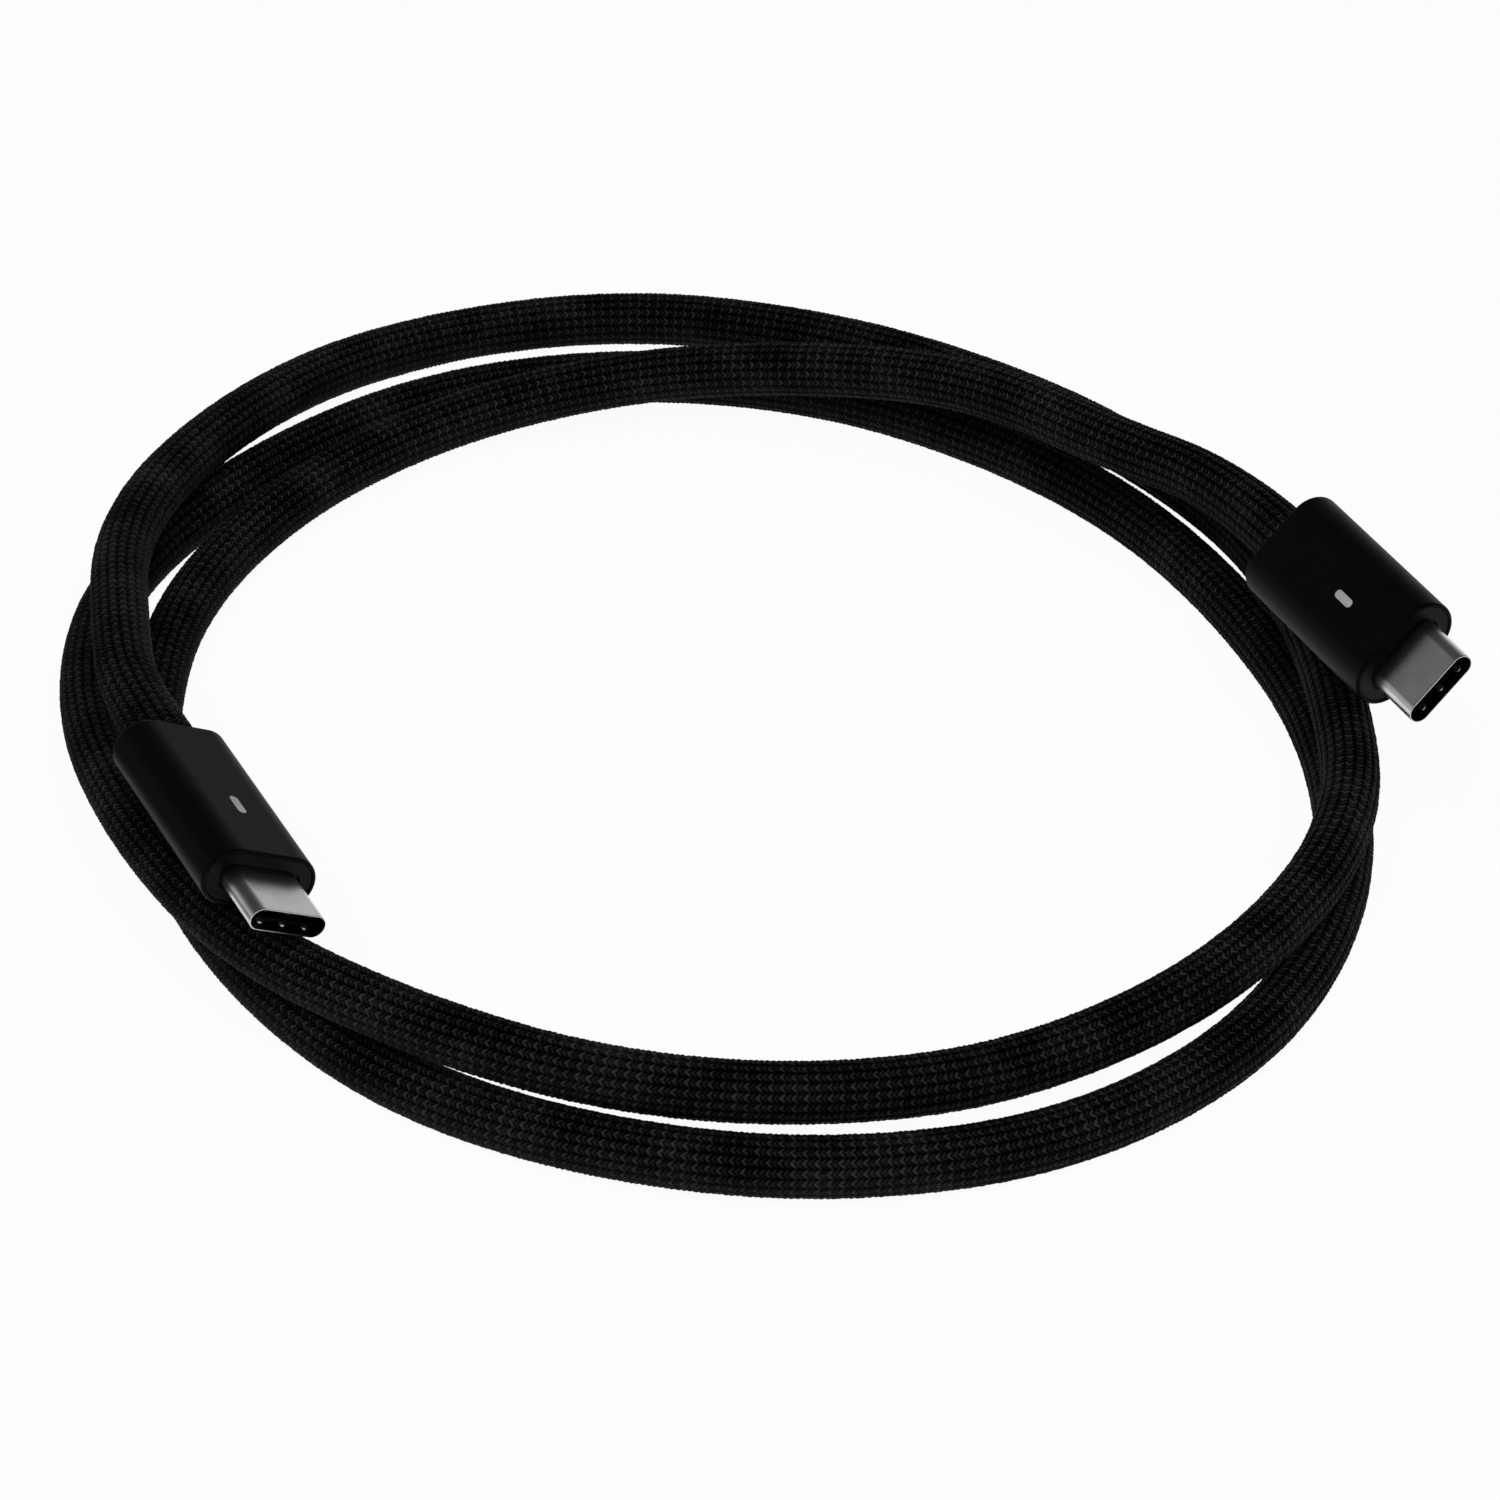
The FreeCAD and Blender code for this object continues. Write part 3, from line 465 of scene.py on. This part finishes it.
@dataclass
class Route:
    """The cable's route from the left plug to the right one."""

    coil_middle: Vector = field(default_factory=lambda: Vector((-2.5, -5.2, 0)) * MM)
    cord_diameter: float = 5.7 * MM
    floor_flat: float = 0.5 * MM
    step: float = 20
    # how far behind each plug the cord stays on its axis, and where its first control point lies
    axis_run: float = 6.5 * MM
    straight_left: float = 9.5 * MM
    straight_right: float = 12.5 * MM
    # distance from the coil's middle in millimetres, and lift off the floor in cord diameters
    coil: tuple = (
        (59.3, 2.0), (65.3, 1.46), (69.8, 0.91), (76.4, 0), (74.1, 0), (69.7, 0),
        (66.3, 0), (62.2, 0.46), (60.7, 0.92), (61.2, 1.08), (64.2, 1.1), (62.8, 0.9),
        (58.6, 0.44), (56.9, 0.63), (56.6, 0.92), (56.7, 1.09), (58.4, 1.06), (60.2, 0.99),
        (63.5, 0.59), (67.0, 0.1), (66.4, 0), (65.3, 0), (62.4, 0), (59.5, 0),
        (57.0, 0), (56.2, 0.03), (57.0, 0), (60.4, 0), (64.5, 0), (67.0, 0),
        (66.2, 0), (63.5, 0.1), (60.7, 0.1), (58.7, 0), (57.1, 0), (56.6, 0.03),
        (57.4, 0.04), (59.0, 0.09), (59.1, 0.18), (58.2, 0.36), (56.0, 0.75), (53.8, 1.22),
        (53.9, 1.61), (53.4, 1.87),
    )
    # how far each control point stands outside its turn, so that the curve passes the stations
    outset: float = 0.125
    smoothness: int = 24
    order: int = 3

    def stations(self) -> list[Vector]:
        """The places on the coil that the cord passes.

        Returns:
            The places of the cord's middle, from the left plug on.
        """
        rest = self.cord_diameter / 2 - self.floor_flat
        places = []
        for index, (reach, lift) in enumerate(self.coil):
            angle = math.radians(index * self.step)
            flat = Vector((-math.cos(angle), math.sin(angle), 0)) * reach * MM
            places.append(self.coil_middle + flat + Vector((0, 0, rest + lift * self.cord_diameter)))
        return places

    def control_points(self) -> list[Vector]:
        """The curve's points: straight out of each plug, and each station moved out of its turn.

        Returns:
            The places of the curve's points, in order.
        """
        left = PLUGS[Side.LEFT]
        right = PLUGS[Side.RIGHT]
        first = left.rear - left.outward * self.straight_left
        last = right.rear - right.outward * self.straight_right
        start = left.rear - left.outward * self.axis_run
        end = right.rear - right.outward * self.axis_run
        around = [start, *self.stations(), end]
        moved = []
        for before, here, after in zip(around, around[1:], around[2:]):
            moved.append(here + (2 * here - before - after) * self.outset)
        return [left.rear, first, *moved, last, right.rear]

    def line(self) -> np.ndarray:
        """Points read from the route's smooth curve.

        Returns:
            An array of places along it, in metres.
        """
        curve = bpy.data.curves.new("cable_route", "CURVE")
        curve.dimensions = "3D"
        curve.resolution_u = self.smoothness
        spline = curve.splines.new("NURBS")
        points = self.control_points()
        spline.points.add(len(points) - 1)
        for point, place in zip(spline.points, points):
            point.co = (*place, 1)
        spline.order_u = self.order
        spline.use_endpoint_u = True
        holder = bpy.data.objects.new("cable_route", curve)
        mesh = bpy.data.meshes.new_from_object(holder)
        places = np.empty(len(mesh.vertices) * 3)
        mesh.vertices.foreach_get("co", places)
        bpy.data.objects.remove(holder)
        bpy.data.meshes.remove(mesh)
        bpy.data.curves.remove(curve)
        return places.reshape(-1, 3)


class Centreline:
    """A smooth line with a steady sideways direction at each place."""

    def __init__(self, places: np.ndarray, first_side: Vector) -> None:
        """Measures the line and carries a sideways direction along it without twist.

        Args:
            places: points along the line.
            first_side: the sideways direction at its start.
        """
        self.places = places
        steps = np.linalg.norm(np.diff(places, axis=0), axis=1)
        self.distance = np.concatenate([[0], np.cumsum(steps)])
        self.length = float(self.distance[-1])
        ahead = np.gradient(places, self.distance, axis=0)
        self.ahead = ahead / np.linalg.norm(ahead, axis=1)[:, None]
        side = np.array(first_side)
        sides = []
        for heading in self.ahead:
            side = side - heading * side.dot(heading)
            side = side / np.linalg.norm(side)
            sides.append(side)
        self.side = np.array(sides)

    def at(self, distance: np.ndarray) -> tuple[np.ndarray, np.ndarray, np.ndarray]:
        """The line at some distances along it.

        Args:
            distance: an array of distances from its start.

        Returns:
            The places, the sideways directions and the directions square to both.
        """
        def read(values: np.ndarray) -> np.ndarray:
            """One array of vectors at the distances."""
            return np.stack([np.interp(distance, self.distance, values[:, i]) for i in range(3)], -1)

        ahead = read(self.ahead)
        ahead /= np.linalg.norm(ahead, axis=-1, keepdims=True)
        side = read(self.side)
        side -= ahead * (side * ahead).sum(-1, keepdims=True)
        side /= np.linalg.norm(side, axis=-1, keepdims=True)
        return read(self.places), side, np.cross(ahead, side)


@dataclass
class BraidedSleeve:
    """The sleeve that 36 carriers weave: ribs along the cord, each a column of V stitches."""

    line: Centreline
    diameter: float = 5.7 * MM
    loft: float = 0.11 * MM
    carriers: int = 36
    corners_per_carrier: int = 2
    stitch: float = 0.53 * MM
    lean: float = 0.45 * MM
    relief: float = 0.28 * MM
    # a valley, a leg, a rib's tip and a leg again: how far each leans along the stitch, how high
    # it stands between two stitches, and how much it rises in the middle of one
    column_lean: tuple[float, ...] = (0, 0.5, 1, 0.5)
    column_foot: tuple[float, ...] = (0, 0.12, 0.25, 0.12)
    column_rise: tuple[float, ...] = (0.35, 0.83, 0.75, 0.83)
    rings_per_stitch: int = 4
    sections: int = 6
    swell: float = 0.25 * MM
    swell_length: float = 16 * MM
    end_round: float = 0.35 * MM
    uneven: float = 0.3
    wander: float = 0.1 * MM
    seed: int = 11
    lining_radius: float = 2.62 * MM
    lining_step: float = 1 * MM
    lining_sides: int = 24

    def build(self) -> list[bpy.types.Object]:
        """Makes the lining and the woven sections.

        Returns:
            The lining, which is the cord itself, and then the sections along it.
        """
        yarn = WovenYarn("sleeve_yarn").material()
        lining = self.lining()
        rubber = MouldedPlastic("sleeve_lining", dark=0.0008, light=0.002, roughness=(0.7, 0.8))
        lining.data.materials.append(rubber.material())
        rings = int(self.line.length / self.stitch) * self.rings_per_stitch
        cuts = [rings * index // self.sections for index in range(self.sections + 1)]
        cuts = [cut - cut % self.rings_per_stitch for cut in cuts]
        woven = []
        for index, (first, last) in enumerate(zip(cuts, cuts[1:]), start=1):
            section = self.section(f"sleeve_section_{index}", first, last, rings)
            section.data.materials.append(yarn)
            woven.append(section)
        for piece in (lining, *woven):
            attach(piece, "root")
            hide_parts("cable_sleeve")
        return [lining, *woven]

    def swelling(self, distance: np.ndarray) -> np.ndarray:
        """How much wider the sleeve is over the strain reliefs, where it rises in an even S.

        Args:
            distance: distances along the line.

        Returns:
            What the radius gains at each of them.
        """
        nearer = np.minimum(distance, self.line.length - distance)
        share = np.clip(1 - nearer / self.swell_length, 0, 1)
        return self.swell * share * share * (3 - 2 * share)

    def around(self, distance: np.ndarray, angle: np.ndarray, radius: np.ndarray) -> np.ndarray:
        """Places round the line, none of them below the floor.

        Args:
            distance: how far along the line each place lies.
            angle: its angle round the line, from the sideways direction.
            radius: how far it lies from the line.

        Returns:
            The places, in metres.
        """
        place, side, above = self.line.at(distance)
        outward = np.cos(angle)[..., None] * side + np.sin(angle)[..., None] * above
        place = place + radius[..., None] * outward
        place[..., 2] = np.maximum(place[..., 2], 0)
        return place

    def section(self, name: str, first: int, last: int, rings: int) -> bpy.types.Object:
        """One woven stretch of the sleeve.

        Args:
            name: its name.
            first: its first ring.
            last: its last ring.
            rings: how many rings the whole sleeve has.

        Returns:
            The new piece.
        """
        sides = self.corners_per_carrier * self.carriers
        ring, corner = np.meshgrid(np.arange(first, last + 1), np.arange(sides), indexing="ij")
        column = corner % len(self.column_lean)
        stitch, place_in_stitch = np.divmod(ring, self.rings_per_stitch)
        draws = (2, rings // self.rings_per_stitch + 1, sides)
        share, shift = np.random.default_rng(self.seed).random(draws)[:, stitch, corner]
        row = np.sin(np.pi * place_in_stitch / self.rings_per_stitch) * (1 - self.uneven * share)
        height = np.array(self.column_foot)[column] + np.array(self.column_rise)[column] * row
        zigzag = (np.array(self.column_lean)[column] - 0.5) * self.lean
        distance = ring * (self.line.length / rings) + zigzag + (shift - 0.5) * self.wander
        distance = np.clip(distance, 0, self.line.length)
        radius = self.diameter / 2 + self.loft - self.relief * (1 - height) + self.swelling(distance)
        to_end = np.minimum(distance, self.line.length - distance)
        inside = np.clip(1 - to_end / self.end_round, 0, 1)
        radius = radius - self.end_round * (1 - np.sqrt(1 - inside * inside))
        piece = tube_mesh(name, self.around(distance, 2 * np.pi * corner / sides, radius))
        mark = piece.data.attributes.new(STITCH_HEIGHT, "FLOAT", "POINT")
        mark.data.foreach_set("value", height.ravel())
        columns = np.arange(sides + 1) / self.corners_per_carrier
        rows = (np.arange(last - first + 1) + first) / self.rings_per_stitch
        tube_map(piece, STITCH_MAP, columns, rows)
        return piece

    def lining(self) -> bpy.types.Object:
        """The plain dark tube under the stitches, from plug to plug.

        Returns:
            The new piece.
        """
        steps = int(self.line.length / self.lining_step)
        distance = np.linspace(0, self.line.length, steps + 1)[:, None].repeat(self.lining_sides, 1)
        angle = 2 * np.pi * np.arange(self.lining_sides)[None, :] / self.lining_sides
        radius = self.lining_radius + self.swelling(distance)
        return tube_mesh("braided_sleeve", self.around(distance, angle, radius))


def tube_mesh(name: str, place: np.ndarray) -> bpy.types.Object:
    """A smooth tube from a grid of places.

    Args:
        name: the new object's name.
        place: places by ring and by corner, anticlockwise seen from the tube's end.

    Returns:
        The new object, in the scene.
    """
    rings, sides = place.shape[:2]
    ring, corner = np.meshgrid(np.arange(rings - 1), np.arange(sides), indexing="ij")
    after = (corner + 1) % sides
    here = ring * sides
    ahead = here + sides
    faces = np.stack([here + corner, here + after, ahead + after, ahead + corner], -1)
    mesh = bpy.data.meshes.new(name)
    mesh.vertices.add(rings * sides)
    mesh.vertices.foreach_set("co", place.astype(np.float32).ravel())
    count = faces.shape[0] * faces.shape[1]
    mesh.loops.add(count * FACE_CORNERS)
    mesh.loops.foreach_set("vertex_index", faces.astype(np.int32).ravel())
    mesh.polygons.add(count)
    mesh.polygons.foreach_set("loop_start", np.arange(count, dtype=np.int32) * FACE_CORNERS)
    mesh.polygons.foreach_set("use_smooth", np.ones(count, dtype=bool))
    mesh.update(calc_edges=True)
    piece = bpy.data.objects.new(name, mesh)
    bpy.context.scene.collection.objects.link(piece)
    return piece


def tube_map(piece: bpy.types.Object, name: str, columns: np.ndarray, rows: np.ndarray) -> None:
    """Gives a tube a map whose values change across and along it.

    Args:
        piece: the tube.
        name: the map's name.
        columns: the value across at each corner, with one more than the corners.
        rows: the value along at each ring.
    """
    column, row = np.meshgrid(np.arange(len(columns) - 1), np.arange(len(rows) - 1))
    across = np.stack([columns[column], columns[column + 1], columns[column + 1], columns[column]], -1)
    along = np.stack([rows[row], rows[row], rows[row + 1], rows[row + 1]], -1)
    layer = piece.data.uv_layers.new(name=name)
    layer.data.foreach_set("uv", np.stack([across, along], -1).astype(np.float32).ravel())


def dress_node(name: str, material: bpy.types.Material) -> bpy.types.Object:
    """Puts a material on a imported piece.

    Args:
        name: the piece's name.
        material: what it gets in place of its own.

    Returns:
        The piece.
    """
    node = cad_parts[name]
    node.data.materials.clear()
    node.data.materials.append(material)
    return node


@dataclass
class Plug:
    """One plug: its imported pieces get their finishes, and its printed bar is added."""

    place: PlugFrame
    thickness: float = 6.15 * MM
    bar_along: float = 12.9 * MM
    bar_run: float = 1.9 * MM
    bar_radius: float = 0.45 * MM
    bar_corners: int = 32
    bar_height: float = 0.015 * MM

    def metals(self) -> dict[str, DrawnMetal]:
        """The finishes of the plug's metal pieces.

        Returns:
            A finish by each piece's name.
        """
        side = self.place.side
        steel = ShellMetal(
            node_name(side, "shell_steel"),
            dark=0.62, light=(0.76, 0.76, 0.77), roughness=(0.27, 0.33), plug=self.place)
        contact = SpringMetal(
            node_name(side, "spring_steel"),
            dark=0.85, light=0.98, roughness=(0.4, 0.5), plug=self.place)
        plated = DrawnMetal(
            node_name(side, "plated_steel"),
            dark=(0.55, 0.54, 0.52), light=(0.72, 0.71, 0.69), roughness=(0.25, 0.4), plug=self.place)
        gold = DrawnMetal(
            node_name(side, "gold_plate"),
            dark=(0.75, 0.52, 0.2), light=(0.9, 0.68, 0.32), roughness=(0.2, 0.3), plug=self.place)
        # the upper spring is painted in shade all over, with no bright crowns
        shaded = replace(contact, name=node_name(side, "shaded_spring_steel"), crown=0)
        return {
            "connector_shell": steel,
            "latch_plate": plated,
            "upper_ground_spring": shaded,
            "lower_ground_spring": contact,
            "upper_shield_cover": plated,
            "lower_shield_cover": plated,
            "crimp_ferrule": plated,
            "upper_contacts": gold,
            "lower_contacts": gold,
        }

    def mouldings(self) -> dict[str, MouldedPlastic | StrandedMetal]:
        """The finishes of the plug's other pieces.

        Returns:
            A finish by each piece's name.
        """
        return {
            "housing": MouldedPlastic(
                "housing_plastic", dark=0.0009, light=0.0014, roughness=(0.42, 0.5), specular=0.055),
            "front_cap": MouldedPlastic(
                "cap_plastic", dark=0.0012, light=0.0018, roughness=(0.4, 0.48), specular=0.13),
            "contact_insulator": MouldedPlastic(
                "insulator_plastic", dark=0.0015, light=0.003, roughness=(0.45, 0.55), specular=0.1),
            "strain_relief": MouldedPlastic(
                "relief_rubber", dark=0.006, light=0.012, roughness=(0.6, 0.75), grain_depth=0.01 * MM),
            "circuit_card": MouldedPlastic(
                "card_laminate", dark=(0.01, 0.06, 0.03), light=(0.015, 0.09, 0.04), roughness=(0.35, 0.5)),
            "marker_chip": MouldedPlastic("chip_plastic", dark=0.01, light=0.02, roughness=(0.5, 0.7)),
            "card_capacitors": MouldedPlastic(
                "capacitor_ceramic", dark=(0.35, 0.22, 0.12), light=(0.5, 0.34, 0.2), roughness=(0.3, 0.5)),
            "wire_leads": StrandedMetal("lead_copper", dark=(0.55, 0.25, 0.12), light=(0.95, 0.6, 0.4)),
        }

    def dress(self) -> list[bpy.types.Object]:
        """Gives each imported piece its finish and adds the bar.

        Returns:
            The plug's pieces.
        """
        pieces = []
        for piece, finish in (self.mouldings() | self.metals()).items():
            pieces.append(dress_node(node_name(self.place.side, piece), finish.material()))
        return [*pieces, self.printed_bar()]

    def printed_bar(self) -> bpy.types.Object:
        """The small plain bar with round ends that is printed on the upper face.

        Returns:
            The new piece.
        """
        deselect_all()
        start = self.place.matrix @ Vector((self.bar_along, 0, self.thickness / 2))
        bpy.ops.mesh.primitive_circle_add(
            vertices=self.bar_corners, radius=self.bar_radius, fill_type="NGON",
            location=start, rotation=self.place.turn)
        bar = bpy.context.object
        bar.name = node_name(self.place.side, "printed_bar")
        bpy.ops.object.mode_set(mode="EDIT")
        bpy.ops.mesh.select_all(action="DESELECT")
        bpy.ops.object.mode_set(mode="OBJECT")
        for corner in bar.data.vertices:
            corner.select = corner.co.x > 0
        bpy.ops.object.mode_set(mode="EDIT")
        bpy.ops.transform.translate(value=self.place.outward * self.bar_run)
        bpy.ops.mesh.select_all(action="SELECT")
        lift = self.place.turn.to_matrix() @ Vector((0, 0, self.bar_height))
        bpy.ops.mesh.extrude_region_move(TRANSFORM_OT_translate={"value": lift})
        bpy.ops.object.mode_set(mode="OBJECT")
        bpy.ops.object.transform_apply(location=True, rotation=True, scale=True)
        ink = MouldedPlastic("printed_ink", dark=0.3, light=0.36, roughness=(0.5, 0.6))
        bar.data.materials.append(ink.material())
        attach(bar, "root")
        return bar


@dataclass
class InnerCable:
    """The layers under the sleeve."""

    fibre_depth: float = 0.02 * MM

    def dress(self) -> list[bpy.types.Object]:
        """Gives each layer its finish.

        Returns:
            The layers.
        """
        finishes = {
            "cable_jacket": MouldedPlastic("jacket_plastic", dark=0.01, light=0.02, roughness=(0.4, 0.5)),
            "cable_shield": StrandedMetal("tinned_braid", dark=(0.4, 0.4, 0.42), light=(0.75, 0.75, 0.77)),
            "power_cores": MouldedPlastic(
                "power_core_plastic", dark=(0.35, 0.02, 0.02), light=(0.45, 0.03, 0.03),
                roughness=(0.35, 0.45)),
            "data_cores": MouldedPlastic(
                "data_core_plastic", dark=0.5, light=0.65, roughness=(0.35, 0.45)),
            "filler_strand": MouldedPlastic(
                "filler_fibre", dark=(0.6, 0.52, 0.3), light=(0.75, 0.66, 0.4),
                roughness=(0.6, 0.8), grain_depth=self.fibre_depth),
        }
        return [dress_node(piece, finish.material()) for piece, finish in finishes.items()]


@dataclass
class Studio:
    """The white floor, the room, the soft lamp and the camera."""

    target: Vector = field(default_factory=lambda: Vector((0.5, -5.2, -0.5)) * MM)
    distance: float = 450 * MM
    elevation: float = 40
    lens: float = 106.38
    sensor: float = 36
    nearest: float = 0.01
    lamp_place: Vector = field(default_factory=lambda: Vector((0, -0.5, 1.1)))
    lamp_side: float = 1.0
    lamp_power: float = 15
    # how bright the room is at the sine of some angles above the floor
    room: tuple = ((0, 0.75), (0.15, 0.6), (0.3, 0.38), (0.42, 0.12), (0.6, 0.05), (1, 0.05))
    floor_half: float = 3
    floor_depth: float = 0.02 * MM
    floor_dim: float = 0.79
    floor_white: float = 0.8
    floor_patch: float = 40 * MM
    floor_roughness: tuple[float, float] = (0.8, 0.9)
    floor_lift: float = 0.95
    # left of the coil, reflections see a darker floor
    gloss_end: float = -88 * MM
    gloss_fade: float = 16 * MM
    gloss_dark: float = 0.12

    def build(self) -> None:
        """Makes the floor, world, lamp and camera."""
        self.floor()
        self.world()
        self.lamp()
        self.camera()
        bpy.context.scene.view_settings.view_transform = "Standard"

    def aim(self, item: bpy.types.Object, place: Vector) -> None:
        """Puts the camera or a lamp in the scene, turned to the coil.

        Args:
            item: what is aimed.
            place: where it stands.
        """
        item.location = place
        item.rotation_euler = (self.target - place).to_track_quat("-Z", "Y").to_euler()
        bpy.context.scene.collection.objects.link(item)

    def camera(self) -> None:
        """The camera at the photograph's angle."""
        rise = math.radians(self.elevation)
        data = bpy.data.cameras.new("photo_camera")
        data.lens = self.lens
        data.sensor_width = self.sensor
        data.clip_start = self.nearest
        camera = bpy.data.objects.new("photo_camera", data)
        self.aim(camera, self.target + Vector((0, -math.cos(rise), math.sin(rise))) * self.distance)
        bpy.context.scene.camera = camera

    def lamp(self) -> None:
        """The soft overhead lamp, which nothing mirrors."""
        data = bpy.data.lights.new("top_softbox", "AREA")
        data.shape = "RECTANGLE"
        data.size = self.lamp_side
        data.size_y = self.lamp_side
        data.energy = self.lamp_power
        lamp = bpy.data.objects.new("top_softbox", data)
        lamp.visible_glossy = False
        self.aim(lamp, self.lamp_place)

    def world(self) -> None:
        """A room that is pale near the floor and dim above."""
        world = bpy.data.worlds.new("studio_room")
        world.use_nodes = True
        graph = NodeGraph(world.node_tree)
        height = graph.parts(graph.add("TexCoord").outputs["Generated"])["Z"]
        colour = graph.ramp(height, self.room)
        graph.tree.links.new(colour, graph.tree.nodes["Background"].inputs["Color"])
        bpy.context.scene.world = world

    def floor(self) -> None:
        """The white floor, which shows as white and keeps a soft shadow."""
        deselect_all()
        bpy.ops.mesh.primitive_plane_add(size=2 * self.floor_half, location=(0, 0, -self.floor_depth))
        floor = bpy.context.object
        floor.name = "studio_floor"
        graph = Surface("floor_white")
        where = graph.add("TexCoord").outputs["Object"]
        grain = graph.noise(where, self.floor_patch)
        colour = graph.ramp(grain, [(NOISE_DARK, self.floor_dim), (NOISE_LIGHT, self.floor_white)])
        graph.finish(colour, graph.between(grain, self.floor_roughness))
        rays = graph.add("LightPath").outputs
        seen = graph.maths("MAXIMUM", rays[Ray.CAMERA.value], rays[Ray.GLOSSY.value])
        seen = graph.maths("MAXIMUM", seen, rays[Ray.TRANSMISSION.value])
        share = graph.maths("MULTIPLY", seen, self.floor_lift)
        mirrored = graph.add("MapRange", {
            "Value": graph.parts(where)["X"], "From Min": self.gloss_end,
            "From Max": self.gloss_end + self.gloss_fade, "To Min": self.gloss_dark,
        }, interpolation_type="SMOOTHSTEP").outputs["Result"]
        strength = graph.maths("MAXIMUM", rays[Ray.CAMERA.value], mirrored)
        glow = graph.add("Emission", {"Color": (1, 1, 1, 1), "Strength": strength})
        mix = graph.add("MixShader", {0: share, 1: graph.shader.outputs[0], 2: glow.outputs[0]})
        graph.tree.links.new(mix.outputs[0], graph.tree.nodes["Material Output"].inputs["Surface"])
        floor.data.materials.append(graph.material)


def main() -> None:
    """Builds the cable's looks and the studio round it."""
    logging.basicConfig(level=logging.INFO, format="%(message)s")
    Studio().build()
    route = Route()
    first = PLUGS[Side.LEFT]
    line = Centreline(route.line(), first.turn.to_matrix() @ Vector((0, 1, 0)))
    LOG.info("route %.1f mm", line.length / MM)
    cord, *woven = BraidedSleeve(line, route.cord_diameter).build()
    pieces = [cord, *woven, *InnerCable().dress()]
    for place in PLUGS.values():
        pieces += Plug(place).dress()
    for piece in pieces:
        LOG.info("%s: %d faces", piece.name, len(piece.data.polygons))


if __name__ == "__main__":
    main()
